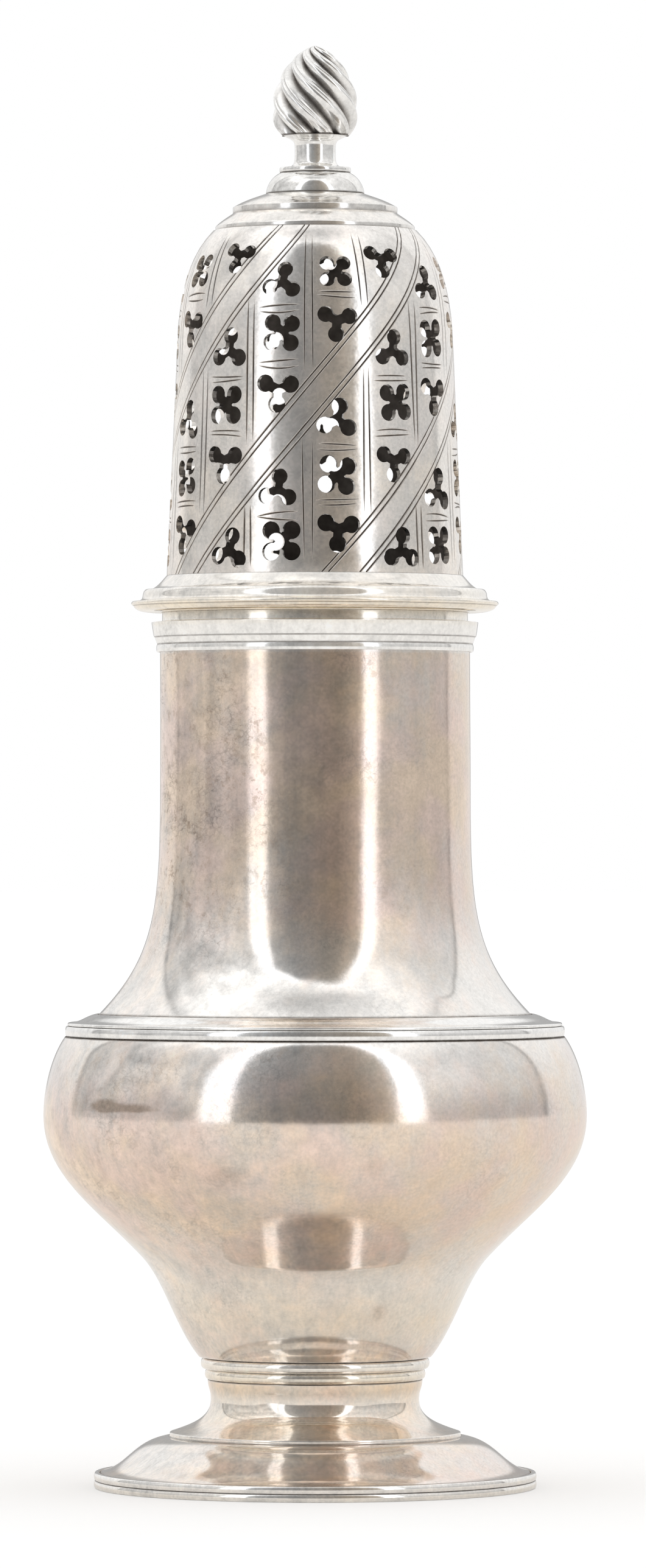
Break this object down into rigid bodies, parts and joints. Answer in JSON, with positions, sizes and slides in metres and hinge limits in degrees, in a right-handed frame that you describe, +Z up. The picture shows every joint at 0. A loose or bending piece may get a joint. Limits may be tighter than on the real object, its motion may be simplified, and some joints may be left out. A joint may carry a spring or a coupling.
{
  "type": "sugar caster",
  "caption": "Baluster silver caster on a stepped domed foot, with a girdled bowl, a tall neck and a lift-off pierced dome cover with a twisted finial, for sprinkling sugar.",
  "frame": {"origin": "on the table, under the middle of the foot", "axes": "+Z up along the turning axis; -Y is the front that the picture shows, +X its right"},
  "size_m": [0.066, 0.066, 0.1752],
  "materials": {
    "body_silver": "raised sheet silver, worn polish with light warm tarnish",
    "moulding_silver": "turned silver moulding, worn bright on the edges",
    "engraved_silver": "pierced and engraved sheet silver, dark in the cuts",
    "cast_silver": "cast and chased silver, dark in the grooves"
  },
  "bodies": {
    "vessel": {"foot_rim": "moulding_silver", "foot": "body_silver", "foot_collar": "moulding_silver", "bowl": "body_silver", "girdle_moulding": "moulding_silver", "neck": "body_silver", "lip_moulding": "moulding_silver"},
    "cover": {"sleeve": "body_silver", "cover_flange": "moulding_silver", "dome": "engraved_silver", "crown": "body_silver", "finial_plinth": "moulding_silver", "finial_stem": "moulding_silver", "finial_flame": "cast_silver"}
  },
  "joints": [
    {"name": "cover_lift", "type": "slide", "parent": "vessel", "child": "cover", "axis": [0, 0, 1], "range_m": [0, 0.06]}
  ]
}
